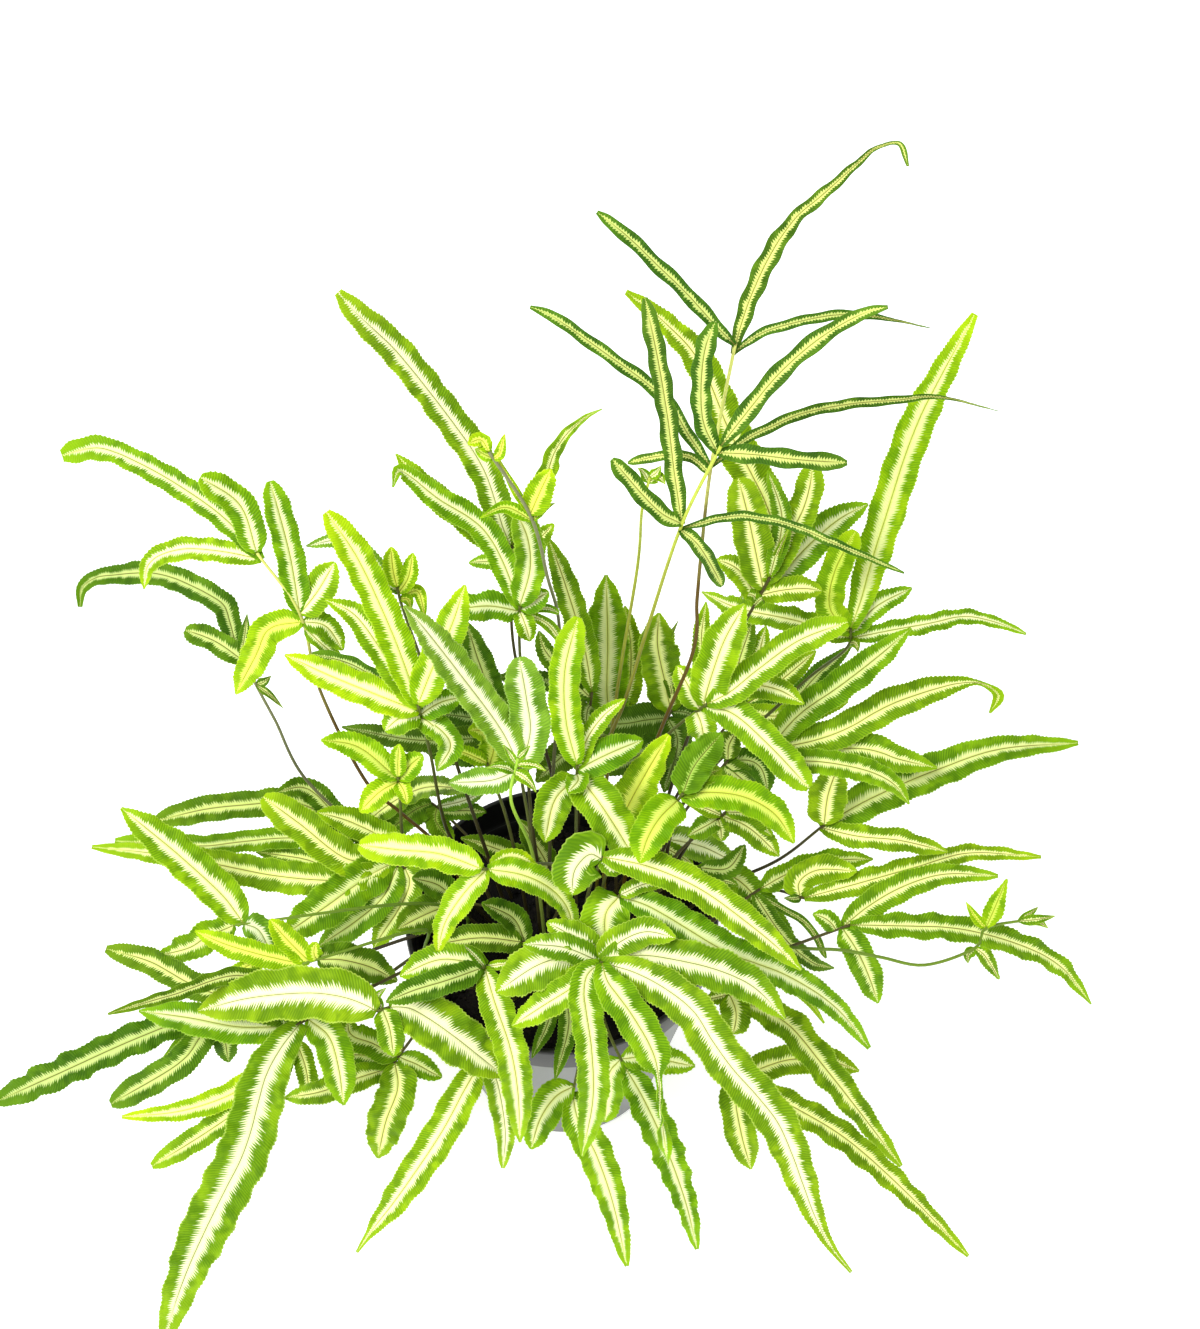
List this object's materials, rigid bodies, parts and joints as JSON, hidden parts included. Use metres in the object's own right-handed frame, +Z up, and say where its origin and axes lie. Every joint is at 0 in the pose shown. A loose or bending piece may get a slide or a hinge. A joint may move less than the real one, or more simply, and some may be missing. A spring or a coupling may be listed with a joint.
{
  "type": "potted silver brake fern",
  "caption": "Bushy variegated brake fern with ribbon-like fronds on thin stems, growing from a round tapered nursery pot of soil.",
  "frame": {"origin": "middle of the pot's underside", "axes": "+Z up along the pot's axis, -Y towards the front, +X to the right seen from the front"},
  "size_m": [0.4804, 0.2851, 0.4759],
  "materials": {
    "pot_plastic": "satin",
    "potting_soil": "crumbly, matt",
    "leaf_dark": "deep green margins with a cream centre stripe",
    "leaf_green": "green margins with a cream centre stripe",
    "leaf_light": "light green with a pale centre stripe",
    "leaf_pale": "light green with a wide silvery white centre",
    "leaf_young": "lime and yellow young growth"
  },
  "bodies": {
    "root": {"pot": "pot_plastic", "soil": "potting_soil", "frond_back_2": "leaf_dark", "frond_back_3": "leaf_dark", "frond_back_4": "leaf_dark", "frond_back_1": "leaf_dark", "frond_back_5": "leaf_dark", "frond_back_6": "leaf_dark", "frond_back_7": "leaf_green", "frond_tall_bud": "leaf_light", "frond_right_2": "leaf_young", "frond_right_1": "leaf_green", "frond_tall_right": "leaf_green", "frond_tall_centre": "leaf_light", "frond_upper_1": "leaf_green", "frond_upper_2": "leaf_light", "frond_upper_3": "leaf_young", "frond_left_bud": "leaf_young", "frond_left_1": "leaf_dark", "frond_left_2": "leaf_light", "frond_inner_young": "leaf_young", "frond_back_left_1": "leaf_dark", "frond_back_left_2": "leaf_green", "frond_left_3": "leaf_light", "frond_mid_1": "leaf_pale", "frond_left_young": "leaf_young", "frond_low_right_1": "leaf_dark", "frond_low_right_2": "leaf_dark", "frond_low_right_3": "leaf_dark", "frond_low_right_4": "leaf_dark", "frond_low_right_5": "leaf_green", "frond_right_3": "leaf_green", "frond_right_4": "leaf_green", "frond_right_5": "leaf_dark", "frond_right_6": "leaf_light", "frond_right_7": "leaf_green", "frond_mid_2": "leaf_young", "frond_mid_3": "leaf_light", "frond_mid_young": "leaf_light", "frond_inner_1": "leaf_dark", "frond_inner_2": "leaf_dark", "frond_low_left_1": "leaf_young", "frond_low_left_2": "leaf_young", "frond_trail_left_1": "leaf_dark", "frond_trail_left_2": "leaf_young", "frond_low_left_3": "leaf_green", "frond_low_left_4": "leaf_green", "frond_trail_right": "leaf_pale", "frond_front_right_1": "leaf_green", "frond_front_right_2": "leaf_green", "frond_front_left_1": "leaf_light", "frond_front_1": "leaf_light", "frond_front_2": "leaf_light", "frond_low_left_5": "leaf_pale", "frond_front_left_2": "leaf_light", "frond_bright": "leaf_young", "frond_front_right_3": "leaf_pale", "frond_front_right_4": "leaf_pale", "frond_right_8": "leaf_young", "frond_front_3": "leaf_pale"}
  },
  "joints": []
}
